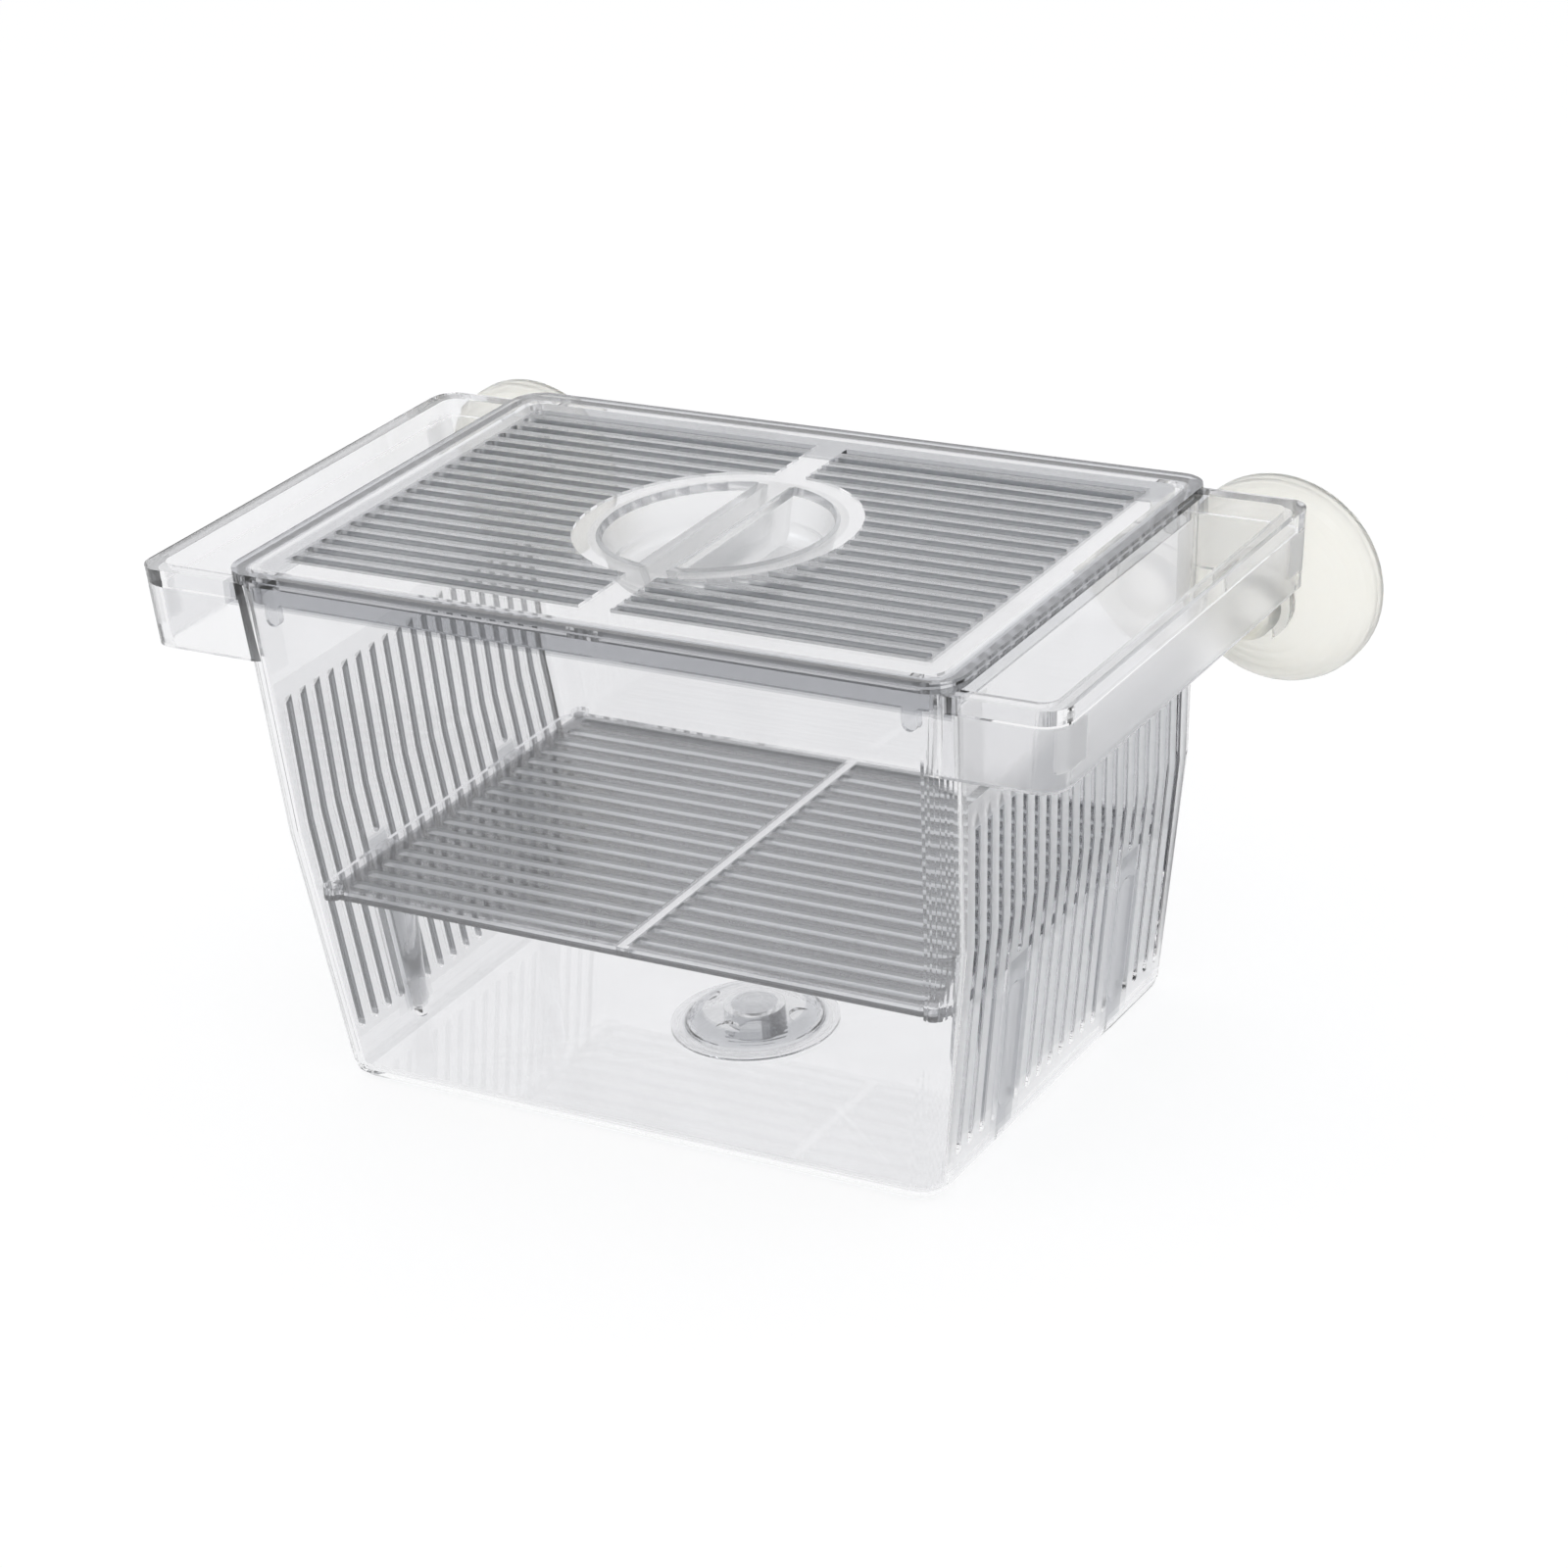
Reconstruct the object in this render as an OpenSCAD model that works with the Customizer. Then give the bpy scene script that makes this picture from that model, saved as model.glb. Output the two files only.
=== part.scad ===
// Hanging breeding box for aquarium fish.
// A clear moulded tank with slotted end walls and two open side wings, a slotted
// drop-in divider, a slotted lid with a sunk finger grip, a domed plug in the floor's
// port, and two suction cups that hold the box to the aquarium's glass.
// Millimetres. X runs along the length, Y from the front to the glass, Z is up.
// The origin is on the surface that the box stands on, midway between its ends, and
// midway between the lid's front edge and the rims of the suction cups.

/* [Tank] */
// Length of the tank at its rim, outside
tank_len = 158.8; // [156:0.2:160]
// Depth of the tank at its rim, front to back, outside
tank_depth = 108.8; // [107:0.2:110]
// Height of the rim
tank_h = 108.5; // [104:0.5:114]
// Length of the tank at the bend in its end walls
bend_len = 152; // [150:0.2:153]
// Height of the bend, above which the end walls stand steeper
bend_z = 54; // [50:1:58]
// Length of the base
base_len = 136.2; // [135:0.2:138]
// Depth of the base
base_depth = 101; // [100:0.5:103]
// Thickness of the walls
wall = 2; // [1.8:0.1:2.2]
// Thickness of the floor
floor_t = 2.2; // [2:0.1:2.6]
// Radius of the upright corners, outside
corner_r = 6; // [5:0.5:7]
// Radius of the edge round the floor, outside
edge_r = 3.5; // [2.5:0.5:4.5]

/* [End wall slots] */
// Slots in each end wall
wall_slots = 19; // [19:2:19]
// Distance from one slot to the next
wall_slot_pitch = 4.78; // [4.6:0.02:4.8]
// Width of a slot
wall_slot_w = 2; // [1.5:0.1:2.4]
// Height of the bottom of the slots
wall_slot_low = 8.3; // [7.5:0.1:10]
// Height of the top of the slots
wall_slot_high = 78; // [70:0.5:84]

/* [Side wings] */
// Overall length across both wings
wing_span = 203; // [200:0.5:206]
// Height of a wing
wing_h = 16.2; // [15:0.1:18]
// Radius of a wing's outer corners
wing_r = 5; // [4:0.5:6]
// Lean of a wing's end wall, in degrees
wing_lean = 5; // [3:0.5:6]
// Width of the thick rim round the top of a wing
rim_w = 3.6; // [2.6:0.1:4]
// Height of the thick rim
rim_h = 4; // [3:0.1:5]
// Height of the suction cups' axis
cup_z = 86.5; // [86:0.5:88]
// Distance of the suction cups' axis from the middle of the box
cup_x = 88.5; // [88:0.5:89.5]

/* [Lid] */
// How far the lid reaches past the tank's rim
lid_overhang = 0.7; // [0.5:0.1:1.2]
// Thickness of the lid
lid_t = 2.2; // [2:0.1:2.6]
// Depth of the skirt that drops inside the rim
skirt_h = 4.5; // [3.5:0.1:6]
// Rows of slots
lid_rows = 19; // [17:2:19]
// Distance from one row to the next
lid_pitch = 4.88; // [4.7:0.02:5]
// Width of a slot
lid_slot_w = 2.4; // [1.8:0.1:2.8]
// Width of the bar that parts the two fields of slots
lid_bar_w = 7; // [5:0.5:9]
// Distance of the skirt's tabs from the middle
tab_x = 70; // [66:0.5:71]

/* [Finger grip] */
// Radius of the plain ring round the grip
ring_r = 28.6; // [27.5:0.1:30]
// Radius of the two bowls at the lid's top
bowl_r = 23.2; // [22:0.1:24]
// Radius of the bowls at their bottom
bowl_low_r = 20.6; // [19.5:0.1:21.5]
// Depth of the bowls
bowl_depth = 10; // [8:0.5:12]
// Width of the web between the bowls
web_w = 8; // [7:0.5:10]

/* [Divider] */
// Height of the divider's underside
seat_z = 39.2; // [38:0.1:41]
// Thickness of the divider
divider_t = 2; // [1.6:0.1:2.4]
// Depth of the divider, front to back
divider_depth = 93.8; // [92.6:0.2:95]
// Rows of slots
divider_rows = 17; // [15:2:17]
// Distance from one row to the next
divider_pitch = 5.37; // [5.1:0.01:5.4]
// Width of a slot at the divider's top
divider_slot_w = 2.8; // [2:0.1:3]

/* [Release plug] */
// Radius of the port in the floor
port_r = 16.2; // [15.6:0.1:16.6]
// Radius of the plug's flange
flange_r = 17.4; // [17.2:0.1:18.4]
// Height of the plug above the floor
plug_h = 5; // [4.4:0.1:6]
// Radius of the tube in the middle of the plug
tube_r = 6.2; // [5.6:0.1:6.8]
// Radius of the four dimples in the plug's dome
dimple_r = 2.8; // [2:0.1:3]

/* [Suction cups] */
// Radius of a cup's rim
cup_r = 21.5; // [20:0.5:22]
// How far a cup reaches behind the wing
cup_reach = 13.1; // [12.5:0.1:16]
// Radius of the neck that sits in the keyhole
neck_r = 4; // [3.5:0.1:4.5]
// Radius of the button in front of the wing
button_r = 6.5; // [6:0.1:7]

/* [Hidden] */
$fn = 64;
// Gap between pieces that move past each other
gap = 0.3;
// Looser gap that lets the divider and the lid drop in
drop_gap = 0.5;
// Hair's breadth of air between faces that rest on each other
rest_gap = 0.05;
// Thickness of the slices that the shell is stretched between
slice = 0.01;
// How far a cutter runs past the surface that it cuts
over = 1;
// Colours
clear_plastic = [0.84, 0.87, 0.9, 0.4];
soft_vinyl = [0.95, 0.94, 0.9, 0.9];

wing_half_x = wing_span / 2;
wing_half_y = tank_depth / 2;
wing_low = tank_h - wing_h;
ear_r = 8.2;
keyhole_r = neck_r + gap;
lid_half_x = tank_len / 2 + lid_overhang;
lid_half_y = tank_depth / 2 + lid_overhang;
lid_r = corner_r + 0.5;
skirt_t = 1.5;
skirt_low = tank_h - skirt_h;
// Plain margin between the lid's skirt and the ends of its slots
lid_end_margin = 4.6;
// Tabs under the lid's skirt
tab_w = 3.2;
tab_h = 4.4;
bowl_t = 1.5;
bowl_round = 3;
// Ribs inside the end walls, which carry the divider. Each takes the place of a slot.
rib_row = 5;
rib_y = rib_row * wall_slot_pitch;
rib_w = 5;
rib_face_x = base_len / 2 - wall - 0.8;
// Lean of the end walls below the bend
low_lean = atan((bend_len - base_len) / 2 / bend_z);
// Shallow flute in the wall's outer face behind each rib
flute_r = 6;
flute_depth = 1;
// Slope at the top of the wall slots
slot_run = 3;
divider_bar_w = 3;
divider_margin = 5.8;
// Round studs at the divider's corners
stud_r = 2;
stud_x = 68;
stud_rise = 0.8;
// Midway between the lid's front edge and the rims of the suction cups
middle_y = (wing_half_y + cup_reach - lid_half_y) / 2;

// Half the tank's outside length and depth at a height
function between(low, high, part) = low + (high - low) * part;
function half_x(z) = z < bend_z
    ? between(base_len, bend_len, z / bend_z) / 2
    : between(bend_len, tank_len, (z - bend_z) / (tank_h - bend_z)) / 2;
function half_y(z) = between(base_depth, tank_depth, z / tank_h) / 2;

// Points along a quarter of an ellipse, from one axis to the other
function quarter(centre, size, from, to, steps) = [
    for (i = [0 : steps])
        let (a = between(from, to, i / steps))
        [centre[0] + size[0] * cos(a), centre[1] + size[1] * sin(a)]
];

// Flat rectangle about the middle with round corners
module round_rect(x, y, r) {
    square([2 * x, 2 * (y - r)], center = true);
    square([2 * (x - r), 2 * y], center = true);
    for (sx = [-1, 1], sy = [-1, 1]) {
        translate([sx * (x - r), sy * (y - r)]) circle(r = r);
    }
}

// Four thin discs at the corners of the tank's section at a height
module section_corners(z, inset, r) {
    for (sx = [-1, 1], sy = [-1, 1]) {
        translate([sx * (half_x(z) - inset - r), sy * (half_y(z) - inset - r), z])
            cylinder(r = r, h = slice, $fn = 32);
    }
}

// The tank's tapered block. Its ends lean out more below the bend than above it.
// A skin of 0 gives the outside, and the wall's thickness gives the inside.
module tapered_block(skin, low, high) {
    r = corner_r - skin;
    edge = edge_r - skin;
    hull() {
        for (a = [0 : 30 : 90]) {
            z = low + edge * (1 - cos(a));
            section_corners(z, skin + edge * (1 - sin(a)), max(r - edge * (1 - sin(a)), 0.5));
        }
        section_corners(bend_z, skin, r);
        section_corners(high - slice, skin, r);
    }
}

// Leaning block about one wing. A skin of 0 gives the outside, else the pocket's size.
module wing_block(skin, r) {
    start_x = tank_len / 2 - corner_r - over;
    long = (wing_half_x - start_x) / 2;
    translate([wing_half_x, 0, tank_h]) rotate([0, wing_lean, 0])
        translate([-long - skin, 0, -2 * wing_h]) linear_extrude(3 * wing_h)
            round_rect(long, wing_half_y - skin, r);
}

// Wide flat slab between two heights, which cuts the wings to length
module slab(low, high) {
    translate([0, 0, (low + high) / 2])
        cube([2 * wing_span, 2 * wing_span, high - low], center = true);
}

// One wing: a frame of thin walls with a thick rim, open above and below
module wing_frame() {
    intersection() {
        slab(wing_low, tank_h);
        difference() {
            wing_block(0, wing_r);
            wing_block(rim_w, wing_r - wall);
            intersection() {
                slab(0, tank_h - rim_h);
                wing_block(wall, wing_r - wall / 2);
            }
        }
    }
}

// Ear under the back of a wing, with the keyhole that takes a suction cup's neck
module ear() {
    translate([cup_x, wing_half_y, cup_z]) rotate([90, 0, 0]) linear_extrude(wall) {
        difference() {
            union() {
                circle(r = ear_r);
                translate([-ear_r, 0]) square([2 * ear_r, wing_low - cup_z + over]);
            }
            circle(r = keyhole_r);
            translate([-keyhole_r, -ear_r - over]) square([2 * keyhole_r, ear_r + over]);
        }
    }
}

// Upright ribs with round noses inside the end walls, as far up as the seat
module divider_ribs() {
    intersection() {
        tapered_block(0, 0, tank_h);
        for (side = [-1, 1], y = [-rib_y, rib_y]) {
            nose_x = rib_face_x + rib_w / 2;
            linear_extrude(seat_z) {
                translate([side * nose_x, y]) circle(d = rib_w);
                translate([side * (nose_x + 5), y]) square([10, rib_w], center = true);
            }
        }
    }
}

// Outline of one wall slot from the side. Its top slopes up through the wall, so that
// the slot reaches higher in the wall's inner face than in its outer face.
function slot_side(low, reach, face) = [
    [0, low],
    [reach, low],
    [reach, wall_slot_high],
    [face, wall_slot_high],
    [face - wall, wall_slot_high + slot_run],
    [0, wall_slot_high + slot_run]
];

// Cutters for the slots in one end wall. The one at a rib starts above the seat.
module wall_slot_cutters() {
    last = (wall_slots - 1) / 2;
    start = half_x(wall_slot_low) - wall - 4 * over;
    reach = half_x(wall_slot_high) + 2 * over - start;
    round_r = wall_slot_w / 2;
    for (i = [-last : last]) {
        low = abs(i) == rib_row ? seat_z + divider_t + 2 : wall_slot_low;
        translate([start, i * wall_slot_pitch + round_r, 0]) rotate([90, 0, 0])
            linear_extrude(wall_slot_w)
                polygon(slot_side(low + round_r, reach, half_x(wall_slot_high) - start));
        translate([start, i * wall_slot_pitch, low + round_r]) rotate([0, 90, 0])
            cylinder(r = round_r, h = reach, $fn = 16);
    }
}

// Cutters for the flutes in the outer face of one end wall
module flute_cutters() {
    offset_x = (flute_r - flute_depth) / cos(low_lean);
    low = 11.5;
    high = seat_z - 5.7;
    for (y = [-rib_y, rib_y]) {
        translate([base_len / 2 + offset_x, y, 0]) rotate([0, low_lean, 0]) {
            translate([0, 0, low]) cylinder(r = flute_r, h = high - low, $fn = 32);
            translate([0, 0, low]) sphere(r = flute_r, $fn = 32);
            translate([0, 0, high]) sphere(r = flute_r, $fn = 32);
        }
    }
}

module tank_shell() {
    difference() {
        union() {
            tapered_block(0, 0, tank_h);
            for (side = [0, 1]) mirror([side, 0, 0]) {
                wing_frame();
                ear();
            }
        }
        tapered_block(wall, floor_t, tank_h + over);
    }
}

module tank() {
    color(clear_plastic) translate([0, -middle_y, 0]) difference() {
        union() {
            tank_shell();
            divider_ribs();
        }
        for (side = [0, 1]) mirror([side, 0, 0]) {
            wall_slot_cutters();
            flute_cutters();
        }
        translate([0, 0, -over]) cylinder(r = port_r, h = floor_t + 2 * over);
    }
}

// Rows of slots along X in two fields, with a bar between the fields and round ends
module slot_rows(rows, pitch, w, half_len, bar_w) {
    last = (rows - 1) / 2;
    for (i = [-last : last], side = [-1, 1]) {
        translate([side * (half_len - w / 2 + bar_w / 2) / 2, i * pitch])
            square([half_len - w / 2 - bar_w / 2, w], center = true);
        translate([side * (half_len - w / 2), i * pitch]) circle(d = w, $fn = 16);
    }
}

module divider() {
    x = half_x(seat_z) - wall - drop_gap;
    y = divider_depth / 2;
    stud_y = y - stud_r + 1.3;
    color(clear_plastic) translate([0, -middle_y, seat_z + rest_gap]) {
        linear_extrude(divider_t) difference() {
            round_rect(x, y, corner_r - wall / 2);
            slot_rows(divider_rows, divider_pitch, divider_slot_w, x - divider_margin, divider_bar_w);
        }
        for (sx = [-1, 1], sy = [-1, 1]) {
            translate([sx * stud_x, sy * stud_y, 0]) cylinder(r = stud_r, h = divider_t + stud_rise, $fn = 32);
        }
    }
}

// Solid of revolution under the lid: the bowls' outside with a skin, else their inside
module bowl_form(skin) {
    top_r = bowl_r + skin;
    low_r = bowl_low_r + skin;
    depth = bowl_depth + skin;
    round_r = bowl_round + skin;
    edge = quarter([low_r - round_r, round_r - depth], [round_r, round_r], -90, 0, 6);
    rotate_extrude() polygon(concat([[0, 0], [0, -depth]], edge, [[top_r, 0]]));
}

// The parts of a bowl form on each side of the web
module bowl_halves(skin) {
    intersection() {
        bowl_form(skin);
        for (side = [-1, 1]) {
            translate([side * (web_w / 2 - skin + ring_r / 2), 0, -bowl_depth])
                cube([ring_r, 2 * ring_r, 3 * bowl_depth], center = true);
        }
    }
}

module lid_plate() {
    x = half_x(skirt_low) - wall - drop_gap;
    y = half_y(skirt_low) - wall - drop_gap;
    translate([0, 0, tank_h]) linear_extrude(lid_t) difference() {
        round_rect(lid_half_x, lid_half_y, lid_r);
        difference() {
            slot_rows(lid_rows, lid_pitch, lid_slot_w, x - skirt_t - lid_end_margin, lid_bar_w);
            circle(r = ring_r);
        }
    }
    translate([0, 0, skirt_low]) linear_extrude(skirt_h + over) difference() {
        round_rect(x, y, corner_r - wall);
        round_rect(x - skirt_t, y - skirt_t, corner_r - wall - skirt_t / 2);
    }
}

// Tabs that hang from the front and back of the lid's skirt
module skirt_tabs() {
    y = half_y(skirt_low) - wall - drop_gap;
    for (sx = [-1, 1], side = [0, 1]) mirror([0, side, 0]) {
        translate([sx * tab_x, y, skirt_low]) rotate([90, 0, 0]) linear_extrude(skirt_t) {
            translate([-tab_w / 2, tab_w / 2 - tab_h]) square([tab_w, tab_h - tab_w / 2 + over]);
            translate([0, tab_w / 2 - tab_h]) circle(d = tab_w, $fn = 24);
        }
    }
}

module lid() {
    top = tank_h + lid_t;
    color(clear_plastic) translate([0, -middle_y, rest_gap]) difference() {
        union() {
            lid_plate();
            skirt_tabs();
            translate([0, 0, top - slice]) bowl_halves(bowl_t);
        }
        translate([0, 0, top]) bowl_halves(0);
    }
}

// Plug in the port: a hollow dome on a flange, with a collar that drops into the port,
// a tube in the middle, and four dimples
module release_plug() {
    collar_r = port_r - gap;
    collar_t = 1.4;
    collar_low = 0.3 - floor_t;
    dome_r = 14.6;
    dome_t = 1.4;
    flange_t = 0.8;
    tube_t = 1.5;
    dimple_x = 11.4;
    dimple_z = 3.4;
    dome = quarter([0, flange_t], [dome_r, plug_h - flange_t], 0, 90, 12);
    hollow = quarter([0, flange_t], [dome_r - dome_t, plug_h - flange_t - dome_t], 0, 90, 12);
    color(clear_plastic) translate([0, -middle_y, floor_t + rest_gap]) {
        difference() {
            rotate_extrude() polygon(concat(
                [[collar_r - collar_t, collar_low], [collar_r, collar_low], [collar_r, 0]],
                [[flange_r, 0], [flange_r, flange_t]],
                dome,
                [for (i = [len(hollow) - 1 : -1 : 0]) hollow[i]],
                [[dome_r - dome_t, 0], [collar_r - collar_t, 0]]
            ));
            for (a = [0 : 90 : 270]) rotate([0, 0, a])
                translate([dimple_x, 0, dimple_z]) cylinder(r = dimple_r, h = plug_h, $fn = 32);
        }
        rotate_extrude() translate([tube_r - tube_t, collar_low])
            square([tube_t, plug_h - dome_t - collar_low]);
    }
}

// Suction cup, its axis along Y: button, neck, and a thin bell with a flat rim
module suction_cup() {
    button_t = 5;
    button_round = 2;
    hub_r = 8;
    hub_t = 2.8;
    lip_t = 1.1;
    lip_w = 1.6;
    back = wall + gap;
    button_low = -back - button_t;
    button = quarter([button_r - button_round, button_low + button_round],
        [button_round, button_round], -90, 0, 4);
    bell = quarter([0, cup_reach - lip_t], [cup_r, gap + lip_t - cup_reach], acos(hub_r / cup_r), 0, 10);
    inside = quarter([0, cup_reach], [cup_r - lip_w, gap + hub_t - cup_reach], 0, 90, 10);
    rotate([-90, 0, 0]) rotate_extrude() polygon(concat(
        [[0, button_low]],
        button,
        [[button_r, -back], [neck_r, -back], [neck_r, gap], [hub_r, gap]],
        bell,
        [[cup_r, cup_reach]],
        inside
    ));
}

module suction_cup_left() {
    color(soft_vinyl) translate([-cup_x, wing_half_y - middle_y, cup_z]) suction_cup();
}

module suction_cup_right() {
    color(soft_vinyl) translate([cup_x, wing_half_y - middle_y, cup_z]) suction_cup();
}

tank();
divider();
lid();
release_plug();
suction_cup_left();
suction_cup_right();
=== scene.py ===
import math

import bmesh
import bpy
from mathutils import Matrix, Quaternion, Vector


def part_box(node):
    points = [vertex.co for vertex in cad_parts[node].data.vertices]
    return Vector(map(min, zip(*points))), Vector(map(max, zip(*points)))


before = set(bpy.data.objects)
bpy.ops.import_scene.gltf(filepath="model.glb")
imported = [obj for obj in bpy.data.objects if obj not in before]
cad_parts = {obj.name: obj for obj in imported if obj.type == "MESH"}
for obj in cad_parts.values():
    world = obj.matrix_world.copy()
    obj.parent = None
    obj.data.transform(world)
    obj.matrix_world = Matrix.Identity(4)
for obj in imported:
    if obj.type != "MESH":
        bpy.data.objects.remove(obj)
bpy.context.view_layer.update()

# ---- Camera --------------------------------------------------------------------------------
# A short telephoto lens on a tripod, above the box's right front corner and looking down.
# It leans by a few degrees, and its view is moved a little to leave room above the lid.

view_azimuth = math.radians(32.40)
view_elevation = math.radians(25.02)
view_lean = math.radians(-4.66)
view_distance = 0.8408
aim_height = 0.0437
lens_mm = 96.14
sensor_mm = 36.0
shift_right = 0.0260
shift_up = 0.0331

tank_low, tank_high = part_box("tank")
aim_point = Vector(((tank_low.x + tank_high.x) / 2, (tank_low.y + tank_high.y) / 2, aim_height))
to_camera = Vector((
    math.sin(view_azimuth) * math.cos(view_elevation),
    -math.cos(view_azimuth) * math.cos(view_elevation),
    math.sin(view_elevation),
))
camera_turn = to_camera.to_track_quat("Z", "Y") @ Quaternion((0, 0, 1), view_lean)

camera_data = bpy.data.cameras.new("camera")
camera_data.lens = lens_mm
camera_data.sensor_width = sensor_mm
camera_data.shift_x = shift_right
camera_data.shift_y = shift_up
camera = bpy.data.objects.new("camera", camera_data)
camera.location = aim_point + to_camera * view_distance
camera.rotation_euler = camera_turn.to_euler()
bpy.context.scene.collection.objects.link(camera)
bpy.context.scene.camera = camera

# ---- Studio --------------------------------------------------------------------------------
# A pale sweep under a dim ceiling. The sweep is one wide painted disc, and beyond it the
# walls are as pale. The ceiling is greyer overhead, so clear edges show as grey lines.

sweep_colour = "#f2f2f2"
wall_colour = "#ffffff"
ceiling_colour = "#84888e"
plain_light_colour = "#e6e7e9"
sweep_radius = 3.0
sweep_sides = 96
sweep_glow_share = 0.7
sweep_glow_strength = 1.1
# How high a view has to point for the ceiling to begin and to fill it, as the sine of its angle
ceiling_starts = 0.5
ceiling_full = 0.75
# Light that is caught inside a thick clear edge needs many turns to find its way out
turns_in_plastic = 18
turns_off_gloss = 12


def linear(hex_colour):
    """Turns an sRGB hex colour to the linear values that Blender's nodes take."""
    parts = [int(hex_colour[i:i + 2], 16) / 255 for i in (1, 3, 5)]
    return tuple(p / 12.92 if p <= 0.04045 else ((p + 0.055) / 1.055) ** 2.4 for p in parts) + (1.0,)


def add_node(tree, kind, settings=None, inputs=None):
    """Adds a node. Its settings go by name, and each input takes a value or another node's output."""
    node = tree.nodes.new(kind)
    for name, value in (settings or {}).items():
        setattr(node, name, value)
    for name, value in (inputs or {}).items():
        if isinstance(value, bpy.types.NodeSocket):
            tree.links.new(value, node.inputs[name])
        else:
            node.inputs[name].default_value = value
    return node


def seen_ray(tree):
    """One for rays that show what the camera sees, straight, mirrored or through clear plastic."""
    path = add_node(tree, "ShaderNodeLightPath")
    mirrored = add_node(tree, "ShaderNodeMath", {"operation": "MAXIMUM"},
                        {0: path.outputs["Is Glossy Ray"], 1: path.outputs["Is Transmission Ray"]})
    return add_node(tree, "ShaderNodeMath", {"operation": "MAXIMUM"},
                    {0: path.outputs["Is Camera Ray"], 1: mirrored.outputs[0]}).outputs[0]


world = bpy.data.worlds.new("studio_walls")
world.use_nodes = True
bpy.context.scene.world = world
sky = world.node_tree
sky.nodes.clear()
direction = add_node(sky, "ShaderNodeTexCoord").outputs["Generated"]
height = add_node(sky, "ShaderNodeSeparateXYZ", {}, {"Vector": direction}).outputs["Z"]
overhead = add_node(sky, "ShaderNodeMapRange", {"interpolation_type": "SMOOTHSTEP"},
                    {"Value": height, "From Min": ceiling_starts, "From Max": ceiling_full})
shown = add_node(sky, "ShaderNodeMix", {"data_type": "RGBA"}, {
    "Factor": overhead.outputs["Result"],
    "A": linear(wall_colour),
    "B": linear(ceiling_colour),
})
chosen = add_node(sky, "ShaderNodeMix", {"data_type": "RGBA"}, {
    "Factor": seen_ray(sky),
    "A": linear(plain_light_colour),
    "B": shown.outputs["Result"],
})
walls = add_node(sky, "ShaderNodeBackground", {}, {"Color": chosen.outputs["Result"], "Strength": 1.0})
add_node(sky, "ShaderNodeOutputWorld", {}, {"Surface": walls.outputs[0]})

sweep_mesh = bpy.data.meshes.new("sweep")
sweep_shape = bmesh.new()
bmesh.ops.create_circle(sweep_shape, cap_ends=True, radius=sweep_radius, segments=sweep_sides)
sweep_shape.to_mesh(sweep_mesh)
sweep_shape.free()
sweep = bpy.data.objects.new("sweep", sweep_mesh)
bpy.context.scene.collection.objects.link(sweep)

# Matt white paint: it takes a soft shadow, and glows a little so that it reads as white.
paint = bpy.data.materials.new("matt_white_paint")
paint.use_nodes = True
tree = paint.node_tree
tree.nodes.clear()
matt = add_node(tree, "ShaderNodeBsdfDiffuse", {}, {"Color": linear(sweep_colour)})
glow = add_node(tree, "ShaderNodeEmission", {},
                {"Color": linear(wall_colour), "Strength": sweep_glow_strength})
glow_share = add_node(tree, "ShaderNodeMath", {"operation": "MULTIPLY"},
                      {0: seen_ray(tree), 1: sweep_glow_share})
both = add_node(tree, "ShaderNodeMixShader", {},
                {0: glow_share.outputs[0], 1: matt.outputs[0], 2: glow.outputs[0]})
add_node(tree, "ShaderNodeOutputMaterial", {}, {"Surface": both.outputs[0]})
sweep_mesh.materials.append(paint)

lamps = {
    "softbox_left": {"place": (-0.9, -0.7, 1.1), "size": 0.7, "power": 3.0},
    "softbox_right": {"place": (0.9, -0.3, 1.2), "size": 0.6, "power": 2.0},
}
for lamp_name, lamp in lamps.items():
    lamp_data = bpy.data.lights.new(lamp_name, "AREA")
    lamp_data.shape = "DISK"
    lamp_data.size = lamp["size"]
    lamp_data.energy = lamp["power"]
    lamp_object = bpy.data.objects.new(lamp_name, lamp_data)
    lamp_object.location = lamp["place"]
    from_box = Vector(lamp["place"]) - aim_point
    lamp_object.rotation_euler = from_box.to_track_quat("Z", "Y").to_euler()
    bpy.context.scene.collection.objects.link(lamp_object)

bpy.context.scene.view_settings.view_transform = "Standard"
bpy.context.scene.cycles.max_bounces = turns_in_plastic
bpy.context.scene.cycles.transmission_bounces = turns_in_plastic
bpy.context.scene.cycles.glossy_bounces = turns_off_gloss

# ---- Tank ---------------------------------------------------------------------------------
# One shot of general-purpose polystyrene, moulded in a polished steel tool. It hangs from
# its wings by the two suction cups, or stands on its floor, and every other piece is in it.

plastic_ior = 1.59
plastic_roughness = 0.02
clear_tint = "#f6f6f7"
hazy_tint = "#f0f0f1"
lamp_pass_tint = "#f4f6f8"
ripple_size_mm = 14.0
ripple_height_mm = 0.012
ripple_detail = 1.0
ripple_fineness = 0.4
# Half the tank's length at the floor and how fast it grows with height, below and above the bend
end_wall_low = (0.0681, 0.1463)
end_wall_high = (0.07263, 0.0624)


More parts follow.
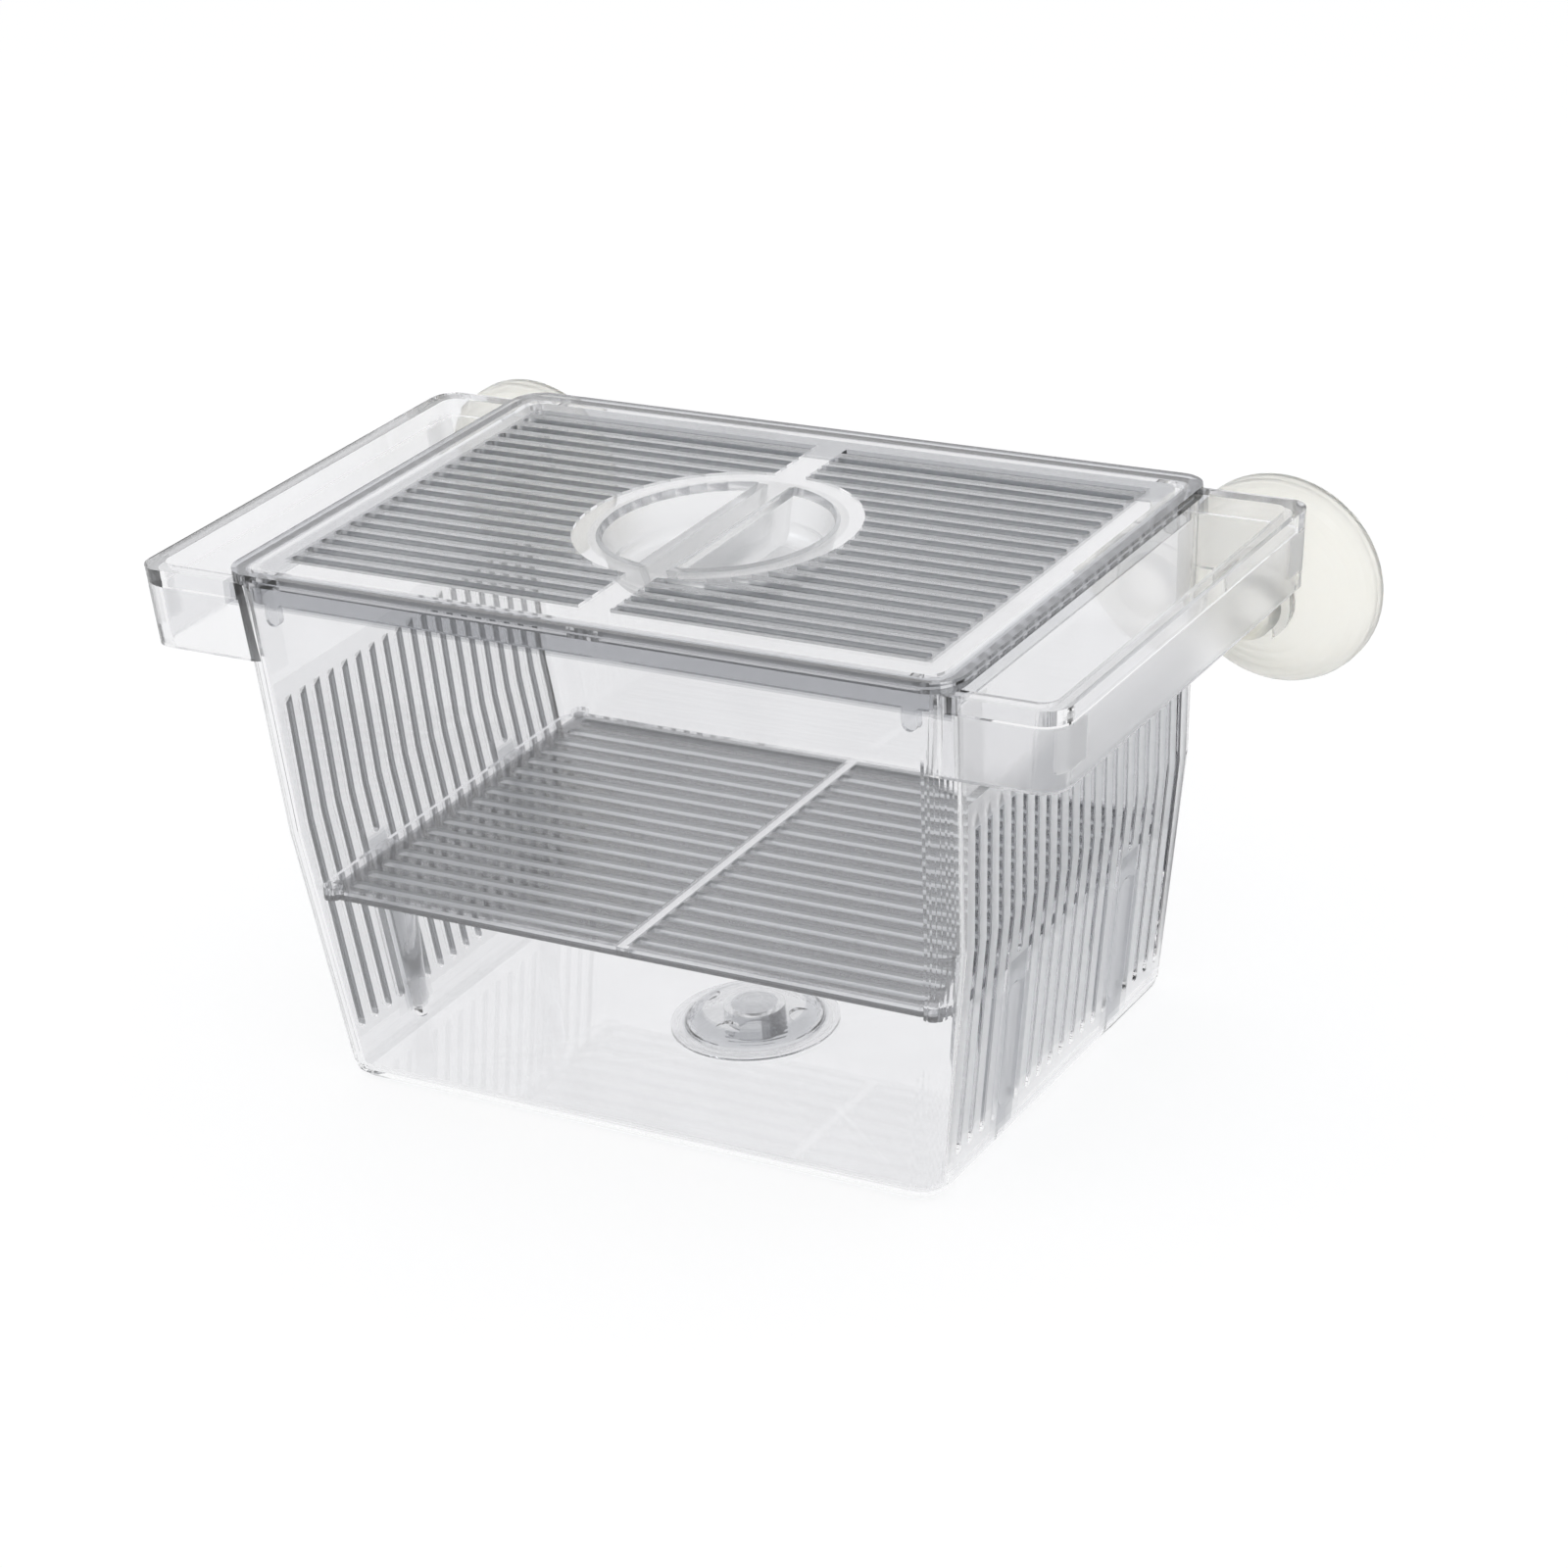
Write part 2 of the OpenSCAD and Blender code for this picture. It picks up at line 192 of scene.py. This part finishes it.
def places(tree):
    """Outputs for where a point of the skin is, in metres, and which way it faces.

    "at" is the distance from the box's middle along an axis, "to the right" the same with its sign,
    "from middle" the distance seen from above, and "in end wall" the depth below its outer face.
    """
    coordinates = add_node(tree, "ShaderNodeTexCoord")
    signed = add_node(tree, "ShaderNodeSeparateXYZ", {}, {0: coordinates.outputs["Object"]})
    found = {"to the right": signed.outputs["X"]}
    for name, source, middle in (("at", "Object", aim_point.y), ("faces", "Normal", 0.0)):
        centred = add_node(tree, "ShaderNodeVectorMath", {"operation": "SUBTRACT"},
                           {0: coordinates.outputs[source], 1: (0.0, middle, 0.0)})
        unsigned = add_node(tree, "ShaderNodeVectorMath", {"operation": "ABSOLUTE"},
                            {0: centred.outputs[0]})
        parts = add_node(tree, "ShaderNodeSeparateXYZ", {}, {0: unsigned.outputs[0]})
        for axis in "XYZ":
            found[f"{name} {axis}"] = parts.outputs[axis]
    outer_faces = [
        add_node(tree, "ShaderNodeMath", {"operation": "MULTIPLY_ADD"},
                 {0: found["at Z"], 1: growth, 2: foot}).outputs[0]
        for foot, growth in (end_wall_low, end_wall_high)
    ]
    outer_face = add_node(tree, "ShaderNodeMath", {"operation": "MINIMUM"},
                          {0: outer_faces[0], 1: outer_faces[1]})
    depth = add_node(tree, "ShaderNodeMath", {"operation": "SUBTRACT"},
                     {0: outer_face.outputs[0], 1: found["at X"]})
    found["in end wall"] = depth.outputs[0]
    flat = add_node(tree, "ShaderNodeCombineXYZ", {}, {"X": found["at X"], "Y": found["at Y"]})
    reach = add_node(tree, "ShaderNodeVectorMath", {"operation": "LENGTH"}, {0: flat.outputs[0]})
    found["from middle"] = reach.outputs["Value"]
    return found


def mask_of(tree, found, limits):
    """One where every named place or direction lies between its two limits, and zero elsewhere."""
    mask = 1.0
    for name, (low, high) in limits.items():
        for operation, limit in (("GREATER_THAN", low), ("LESS_THAN", high)):
            test = add_node(tree, "ShaderNodeMath", {"operation": operation}, {0: found[name], 1: limit})
            mask = add_node(tree, "ShaderNodeMath", {"operation": "MULTIPLY"},
                            {0: mask, 1: test.outputs[0]}).outputs[0]
    return mask


def polystyrene(name, painted_regions, satined=()):
    """Clear polystyrene, with regions of painted shade and light and regions of a satin skin."""
    material = bpy.data.materials.new(name)
    material.use_nodes = True
    tree = material.node_tree
    tree.nodes.clear()
    position = add_node(tree, "ShaderNodeTexCoord").outputs["Object"]
    ripple = add_node(tree, "ShaderNodeTexNoise", {}, {
        "Vector": position,
        "Scale": 1000 / ripple_size_mm,
        "Detail": ripple_detail,
        "Roughness": ripple_fineness,
    })
    relief = add_node(tree, "ShaderNodeBump", {}, {
        "Height": ripple.outputs["Fac"],
        "Strength": 1.0,
        "Distance": ripple_height_mm / 1000,
    })
    tint = add_node(tree, "ShaderNodeMix", {"data_type": "RGBA"},
                    {"Factor": ripple.outputs["Fac"], "A": linear(clear_tint), "B": linear(hazy_tint)})
    found = places(tree)
    for painted_tint, limits in painted_regions:
        tint = add_node(tree, "ShaderNodeMix", {"data_type": "RGBA"}, {
            "Factor": mask_of(tree, found, limits),
            "A": tint.outputs["Result"],
            "B": linear(painted_tint),
        })
    roughness = plastic_roughness
    for satin, limits in satined:
        rougher = add_node(tree, "ShaderNodeMath", {"operation": "MULTIPLY_ADD"},
                           {0: mask_of(tree, found, limits), 1: satin, 2: roughness})
        roughness = rougher.outputs[0]
    clear = add_node(tree, "ShaderNodeBsdfPrincipled", {}, {
        "Base Color": tint.outputs["Result"],
        "Roughness": roughness,
        "IOR": plastic_ior,
        "Transmission Weight": 1.0,
        "Normal": relief.outputs["Normal"],
    })
    lamp_path = add_node(tree, "ShaderNodeLightPath").outputs["Is Shadow Ray"]
    open_to_lamps = add_node(tree, "ShaderNodeBsdfTransparent", {}, {"Color": linear(lamp_pass_tint)})
    surface = add_node(tree, "ShaderNodeMixShader", {},
                       {0: lamp_path, 1: clear.outputs[0], 2: open_to_lamps.outputs[0]})
    add_node(tree, "ShaderNodeOutputMaterial", {}, {"Surface": surface.outputs[0]})
    return material


def finish_with(node_name, material):
    """Gives every face of a CAD node one material."""
    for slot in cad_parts[node_name].material_slots:
        slot.material = material


# How squarely a region faces up or down (upright, level), or to the front or back (across), from
# 0, edge on, to 1, face on. Each pair is the lowest and the highest value.
upright = {"faces Z": (-1.0, 0.6)}
level = {"faces Z": (0.7, 2.0)}
across = {"faces Y": (0.7, 2.0)}
not_across = {"faces Y": (-1.0, 0.7)}

# Sides of the end walls' slots, greyed with painted shade deeper in the wall. The left wall's have a
# darker painted shade: from the front they are seen from inside the tank, against the light, and would
# fade.
slot_outer_tint = "#f6f6f7"
slot_inner_painted_shade = "#b6b8bb"
slot_left_painted_shade = "#7c7e82"
slot_rows = {"at Y": (0.0, 0.0455), "at Z": (0.007, 0.082)}
slot_walls = {**across, **slot_rows, "in end wall": (-0.0005, 0.003)}
slot_walls_inside = {**slot_walls, "in end wall": (0.0011, 0.003)}
slot_walls_left = {**slot_walls, "to the right": (-0.2, 0.0)}

# Ribs inside the end walls, greyed with painted shade, and the shallow flutes behind them
rib_painted_shade = "#c9cacd"
flute_satin = 0.3
ribs = {"in end wall": (-0.0005, 0.01), "at Y": (0.0205, 0.0273), "at Z": (0.0045, 0.0425)}
flutes = {"in end wall": (-0.0005, 0.0016), "at Y": (0.0180, 0.0300), "at Z": (0.004, 0.036)}

# The rim's top, the band below it at the front and back, and the undersides of the wings, greyed with
# painted shade
rim_band_painted_shade = "#c4c5c8"
ledge_painted_shade = "#b6b7ba"
rim_band = {**upright, "at X": (0.0, 0.0797), "at Y": (0.0485, 0.0560), "at Z": (0.1038, 0.1086)}
rim_top = {**level, "at X": (0.0, 0.0796), "at Z": (0.108, 0.110)}
wing_foot = {**level, "at X": (0.079, 0.11), "at Z": (0.075, 0.0925)}

# Skins that the tool left less polished: the end walls, most of all the right one's bars, and
# the wings' frames with the thick joints at their roots and corners
end_wall_satin = 0.3
right_bars_satin = 0.2
wing_satin = 0.12
wing_joint_satin = 0.25
end_wall_skin = {"in end wall": (-0.0005, 0.0004), "at Y": (0.0, 0.047), "at Z": (0.006, 0.084)}
right_bars = {**end_wall_skin, "at Z": (0.012, 0.079), "to the right": (0.0, 0.2)}
wing_sides = {**upright, "at X": (0.080, 0.11), "at Z": (0.075, 0.1045)}
wing_roots = {**not_across, "at X": (0.078, 0.085), "at Y": (0.040, 0.060), "at Z": (0.080, 0.1045)}
wing_corners = {**not_across, "at X": (0.096, 0.104), "at Y": (0.044, 0.060), "at Z": (0.096, 0.1045)}

# Crystal polystyrene, moulded and polished: as clear as glass on its faces, with slow ripples
# where the melt met the cold steel. Slot sides, ribs, the rim and the wings' undersides are greyed with
# painted shade.
tank_plastic = polystyrene("moulded_crystal_polystyrene", [
    (slot_outer_tint, slot_walls),
    (slot_inner_painted_shade, slot_walls_inside),
    (slot_left_painted_shade, slot_walls_left),
    (rib_painted_shade, ribs),
    (rim_band_painted_shade, rim_band),
    (ledge_painted_shade, rim_top),
    (ledge_painted_shade, wing_foot),
], [
    (wing_satin, wing_sides),
    (end_wall_satin, end_wall_skin),
    (flute_satin, flutes),
    (wing_joint_satin, wing_roots),
    (wing_joint_satin, wing_corners),
    (right_bars_satin, right_bars),
])
finish_with("tank", tank_plastic)

# ---- Divider --------------------------------------------------------------------------------
# The same polystyrene, a thin slotted plate that rests on the tank's four ribs. It lifts out,
# and newborn fish fall through its slots into the lower part of the tank.

# Painted shade on the bars, the slots' upper sides, the lower front edge and the ends, and a painted
# light line on the slots' lower sides
bar_painted_shade = "#7c7d80"
slot_side_painted_shade = "#7f8083"
slot_low_painted_light = "#e6e7e9"
slot_satin = 0.3
edge_tint = "#f0f0f2"
edge_low_painted_shade = "#38393c"
end_painted_shade = "#96979b"
divider_field = {"at X": (0.0012, 0.0684), "at Y": (0.0, 0.0458)}
divider_slots = {**divider_field, **upright}
divider_slots_low = {**divider_slots, "at Z": (0.0, 0.0406)}
divider_edge = {**upright, "at Y": (0.0450, 0.06)}
divider_edge_low = {**divider_edge, "at Z": (0.0, 0.0405)}
divider_ends = {**upright, "at X": (0.0695, 0.0730)}

# Polystyrene whose slots are cut by thin blades, with satin sides. Painted shade greys the bars, the
# slots' upper sides, the lower front edge and the ends, and the slots' lower sides are painted lighter,
# so each slot shows as a light line between two dark bars.
divider_plastic = polystyrene("satin_barred_polystyrene", [
    (bar_painted_shade, divider_field),
    (slot_side_painted_shade, divider_slots),
    (slot_low_painted_light, divider_slots_low),
    (edge_tint, divider_edge),
    (edge_low_painted_shade, divider_edge_low),
    (end_painted_shade, divider_ends),
], [(slot_satin, divider_slots)])
finish_with("divider", divider_plastic)

# ---- Lid ------------------------------------------------------------------------------------
# The same polystyrene again, a slotted plate with the finger grip sunk in its middle. Its skirt
# drops inside the tank's rim, and nothing else holds it.

# Tints of painted shade on the edge, border, bars, rim and the slots' lower sides, with the slots' upper
# sides painted light
lid_edge_painted_shade = "#e2e3e5"
lid_border_painted_shade = "#85868a"
lid_bar_painted_shade = "#b8b9bc"
lid_slot_painted_light = "#f4f4f6"
lid_slot_low_painted_shade = "#989a9d"
lid_rim_painted_shade = "#cbccd0"
bowl_tint = "#ffffff"
bowl_satin = 0.22
lid_field = {"at X": (0.0035, 0.0712), "at Y": (0.0, 0.0452), "from middle": (0.0286, 0.2)}
lid_slots = {**lid_field, **upright}
lid_slots_low = {**lid_slots, "at Z": (0.0, 0.1099)}
lid_edge = {**upright, "from middle": (0.0455, 0.2)}
lid_border_front = {**upright, "at Y": (0.0538, 0.058)}
lid_border_ends = {**upright, "at X": (0.0790, 0.082)}
lid_level = {"faces Z": (0.6, 2.0)}
lid_rim_ends = {**lid_level, "at X": (0.0767, 0.082)}
lid_rim_sides = {**lid_level, "at Y": (0.0518, 0.058)}
bowls = {"at Z": (0.09, 0.1095), "from middle": (0.0, 0.0255)}
bowl_lips = {**upright, "at Z": (0.1095, 0.112), "from middle": (0.0, 0.0255)}

# Polystyrene with satin slots and a softly satin grip. Painted shade greys the bars, the border, the
# rim, the edge and the slots' lower sides, which read as dark lines, and the slots' upper sides are kept
# clear as painted light; the two bowls look milky beside the polished border.
lid_plastic = polystyrene("satin_barred_polystyrene_lid", [
    (lid_edge_painted_shade, lid_edge),
    (lid_border_painted_shade, lid_border_front),
    (lid_border_painted_shade, lid_border_ends),
    (lid_bar_painted_shade, lid_field),
    (lid_slot_painted_light, lid_slots),
    (lid_slot_low_painted_shade, lid_slots_low),
    (lid_rim_painted_shade, lid_rim_ends),
    (lid_rim_painted_shade, lid_rim_sides),
    (bowl_tint, bowls),
], [
    (bowl_satin, bowls),
    (bowl_satin, bowl_lips),
    (slot_satin, lid_slots),
])
finish_with("lid", lid_plastic)

# ---- Release plug ---------------------------------------------------------------------------
# A small hollow dome in the same polystyrene, lying over the port in the tank's floor. It is
# pushed out from below, to let the young fish go.

# Tints of painted shade on the tube and the dome's side, darkest on the tube's right
tube_painted_shade = "#dadbdd"
tube_right_painted_shade = "#6c6d71"
dome_painted_shade = "#d6d7da"
tube = {**upright, "from middle": (0.0, 0.0066)}
tube_right = {**tube, "to the right": (0.0042, 0.0070)}
dome_side = {"from middle": (0.0105, 0.0150), "at Z": (0.0030, 0.0085)}

# Moulded polystyrene, thin and clear: the tube inside shows through the dome. The tube and the dome's
# side carry painted shade, darkest where the tube's wall turns away on the right.
plug_plastic = polystyrene("moulded_crystal_polystyrene_plug", [
    (tube_painted_shade, tube),
    (tube_right_painted_shade, tube_right),
    (dome_painted_shade, dome_side),
])
finish_with("release_plug", plug_plastic)

# ---- Suction cups --------------------------------------------------------------------------
# Soft PVC, moulded in one piece: the button is pulled through the ear's keyhole, and the
# neck holds the cup there.

vinyl_colour = "#fffef8"
vinyl_warm_colour = "#fdfbf2"
vinyl_roughness = 0.35
vinyl_ior = 1.53
vinyl_clearness = 0.88
vinyl_milk = 0.6
vinyl_depth_mm = 3.0
# How far red, green and blue light spread inside it, as shares of that depth
vinyl_spread = (1.0, 0.9, 0.8)
mottle_size_mm = 8.3333
mottle_detail = 2.0
mottle_strength = 0.3
mottle_height_mm = 0.1

# Plasticised PVC, moulded: milky and a little warm, light passes into it and spreads.
vinyl = bpy.data.materials.new("moulded_soft_pvc")
vinyl.use_nodes = True
tree = vinyl.node_tree
tree.nodes.clear()
place = add_node(tree, "ShaderNodeTexCoord").outputs["Object"]
mottle = add_node(tree, "ShaderNodeTexNoise", {},
                  {"Vector": place, "Scale": 1000 / mottle_size_mm, "Detail": mottle_detail})
milk = add_node(tree, "ShaderNodeMix", {"data_type": "RGBA"}, {
    "Factor": mottle.outputs["Fac"],
    "A": linear(vinyl_colour),
    "B": linear(vinyl_warm_colour),
})
skin = add_node(tree, "ShaderNodeBump", {}, {
    "Height": mottle.outputs["Fac"],
    "Strength": mottle_strength,
    "Distance": mottle_height_mm / 1000,
})
soft = add_node(tree, "ShaderNodeBsdfPrincipled", {}, {
    "Base Color": milk.outputs["Result"],
    "Roughness": vinyl_roughness,
    "IOR": vinyl_ior,
    "Transmission Weight": vinyl_clearness,
    "Subsurface Weight": vinyl_milk,
    "Subsurface Radius": vinyl_spread,
    "Subsurface Scale": vinyl_depth_mm / 1000,
    "Normal": skin.outputs["Normal"],
})
add_node(tree, "ShaderNodeOutputMaterial", {}, {"Surface": soft.outputs[0]})
finish_with("suction_cup_left", vinyl)
finish_with("suction_cup_right", vinyl)
